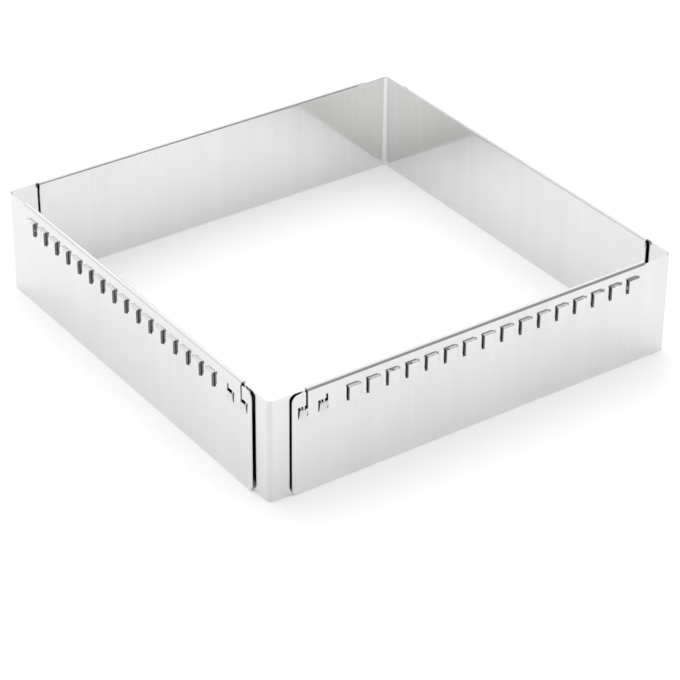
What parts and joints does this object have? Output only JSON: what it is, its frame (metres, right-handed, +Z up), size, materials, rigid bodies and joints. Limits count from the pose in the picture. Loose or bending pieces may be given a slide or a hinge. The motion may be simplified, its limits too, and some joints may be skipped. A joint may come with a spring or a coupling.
{
  "type": "adjustable cake frame",
  "caption": "Square baking frame of bent sheet-steel corners that slide in each other along folded rails with rows of lanced catches, so its length and width adjust.",
  "frame": {"origin": "centre of the closed frame's footprint, on the surface that it stands on", "axes": "+X along the front right wall, from the front corner to the right corner; +Y along the front left wall, from the front corner to the left corner; +Z up, the short way of the closed frame"},
  "size_m": [0.218, 0.218, 0.0504],
  "materials": {
    "satin_steel": "satin polished stainless sheet with faint vertical brush marks"
  },
  "bodies": {
    "front_corner": {"front_inner_corner": "satin_steel"},
    "right_corner": {"right_outer_corner": "satin_steel"},
    "left_corner": {"left_outer_corner": "satin_steel"},
    "back_corner": {"back_inner_corner": "satin_steel"}
  },
  "joints": [
    {"name": "width_slide", "type": "slide", "parent": "front_corner", "child": "right_corner", "axis": [1, 0, 0], "range_m": [0, 0.16]},
    {"name": "depth_slide", "type": "slide", "parent": "front_corner", "child": "left_corner", "axis": [0, 1, 0], "range_m": [0, 0.16]},
    {"name": "back_depth_slide", "type": "slide", "parent": "right_corner", "child": "back_corner", "axis": [0, 1, 0], "range_m": [0, 0.16]}
  ],
  "couplings": [
    {"joint": "back_depth_slide", "follows": "depth_slide", "ratio": 1}
  ]
}
